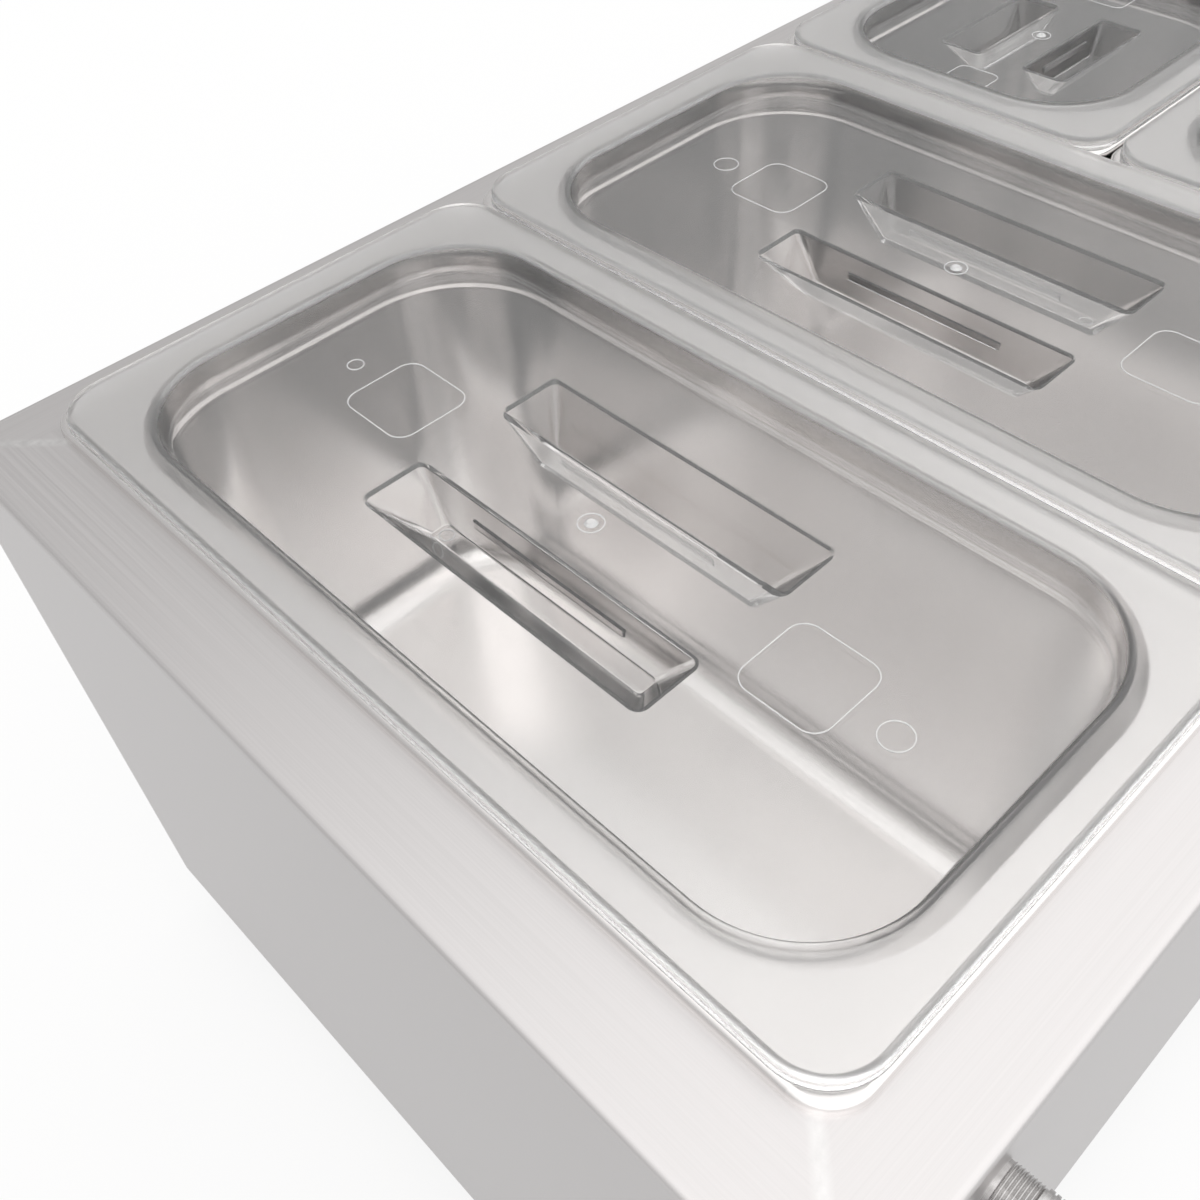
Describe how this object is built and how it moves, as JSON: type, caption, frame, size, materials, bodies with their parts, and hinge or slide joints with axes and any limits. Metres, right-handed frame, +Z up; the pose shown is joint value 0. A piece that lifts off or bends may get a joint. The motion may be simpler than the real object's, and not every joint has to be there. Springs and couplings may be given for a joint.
{
  "type": "food warmer",
  "caption": "Countertop water-bath food warmer: a steel casing with a heated tank that holds lift-out pans under clear moulded lids with finger pockets.",
  "frame": {"origin": "on the counter, below the middle of the overall length and depth", "axes": "+Z up; +X along the row of pans; -Y towards the front wall with the controls"},
  "size_m": [0.5866, 0.412, 0.2883],
  "materials": {
    "casing_steel": "fine brushed stainless sheet",
    "pan_steel": "satin drawn stainless sheet",
    "tank_steel": "plain stainless sheet",
    "lid_clear": "clear moulded polycarbonate",
    "zinc_steel": "zinc plated",
    "element_sheath": "heat-tinted sheath",
    "copper_tube": "drawn copper",
    "black_plastic": "moulded satin black",
    "rocker_red": "moulded red",
    "lens_green": "clear green",
    "lens_amber": "clear amber",
    "foot_rubber": "moulded black rubber",
    "block_white": "moulded off-white"
  },
  "bodies": {
    "body": {"casing_front": "casing_steel", "casing_rear": "casing_steel", "casing_left": "casing_steel", "casing_right": "casing_steel", "base_plate": "tank_steel", "base_screws": "zinc_steel", "feet": "foot_rubber", "foot_screws": "zinc_steel", "foot_nuts": "zinc_steel", "water_tank": "tank_steel", "divider_bar_left": "pan_steel", "divider_bar_right": "pan_steel", "heating_element": "element_sheath", "clamp_plate": "zinc_steel", "clamp_studs": "zinc_steel", "clamp_nuts": "zinc_steel", "thermal_cutout": "black_plastic", "thermostat_body": "black_plastic", "thermostat_nut": "zinc_steel", "capillary": "copper_tube", "bulb_clips": "zinc_steel", "switch_body": "black_plastic", "lamp_bodies": "black_plastic", "lamp_lens_power": "lens_green", "lamp_lens_heat": "lens_amber", "gland_body": "black_plastic", "gland_dome_nut": "black_plastic", "gland_lock_nut": "black_plastic", "terminal_block": "block_white", "bonding_stud": "zinc_steel", "bonding_ring": "zinc_steel"},
    "knob": {"thermostat_shaft": "zinc_steel", "thermostat_knob": "black_plastic"},
    "rocker": {"switch_rocker": "rocker_red"},
    "pan_third_right": {"pan_third_right": "pan_steel"},
    "lid_third_right": {"lid_third_right": "lid_clear"},
    "pan_third_middle": {"pan_third_middle": "pan_steel"},
    "lid_third_middle": {"lid_third_middle": "lid_clear"},
    "pan_sixth_front": {"pan_sixth_front": "pan_steel"},
    "lid_sixth_front": {"lid_sixth_front": "lid_clear"},
    "pan_sixth_rear": {"pan_sixth_rear": "pan_steel"},
    "lid_sixth_rear": {"lid_sixth_rear": "lid_clear"}
  },
  "joints": [
    {"name": "pan_third_right_lift", "type": "slide", "parent": "body", "child": "pan_third_right", "axis": [0, 0, 1], "range_m": [0, 0.17]},
    {"name": "pan_third_middle_lift", "type": "slide", "parent": "body", "child": "pan_third_middle", "axis": [0, 0, 1], "range_m": [0, 0.17]},
    {"name": "pan_sixth_front_lift", "type": "slide", "parent": "body", "child": "pan_sixth_front", "axis": [0, 0, 1], "range_m": [0, 0.17]},
    {"name": "pan_sixth_rear_lift", "type": "slide", "parent": "body", "child": "pan_sixth_rear", "axis": [0, 0, 1], "range_m": [0, 0.17]},
    {"name": "lid_third_right_lift", "type": "slide", "parent": "pan_third_right", "child": "lid_third_right", "axis": [0, 0, 1], "range_m": [0, 0.06]},
    {"name": "lid_third_middle_lift", "type": "slide", "parent": "pan_third_middle", "child": "lid_third_middle", "axis": [0, 0, 1], "range_m": [0, 0.06]},
    {"name": "lid_sixth_front_lift", "type": "slide", "parent": "pan_sixth_front", "child": "lid_sixth_front", "axis": [0, 0, 1], "range_m": [0, 0.06]},
    {"name": "lid_sixth_rear_lift", "type": "slide", "parent": "pan_sixth_rear", "child": "lid_sixth_rear", "axis": [0, 0, 1], "range_m": [0, 0.06]},
    {"name": "thermostat_turn", "type": "hinge", "parent": "body", "child": "knob", "pos_m": [0.2223, -0.182, 0.0602], "axis": [0, -1, 0], "range_deg": [-270, 0]},
    {"name": "rocker_tip", "type": "hinge", "parent": "body", "child": "rocker", "pos_m": [0.1243, -0.18, 0.0602], "axis": [1, 0, 0], "range_deg": [0, 18]}
  ]
}
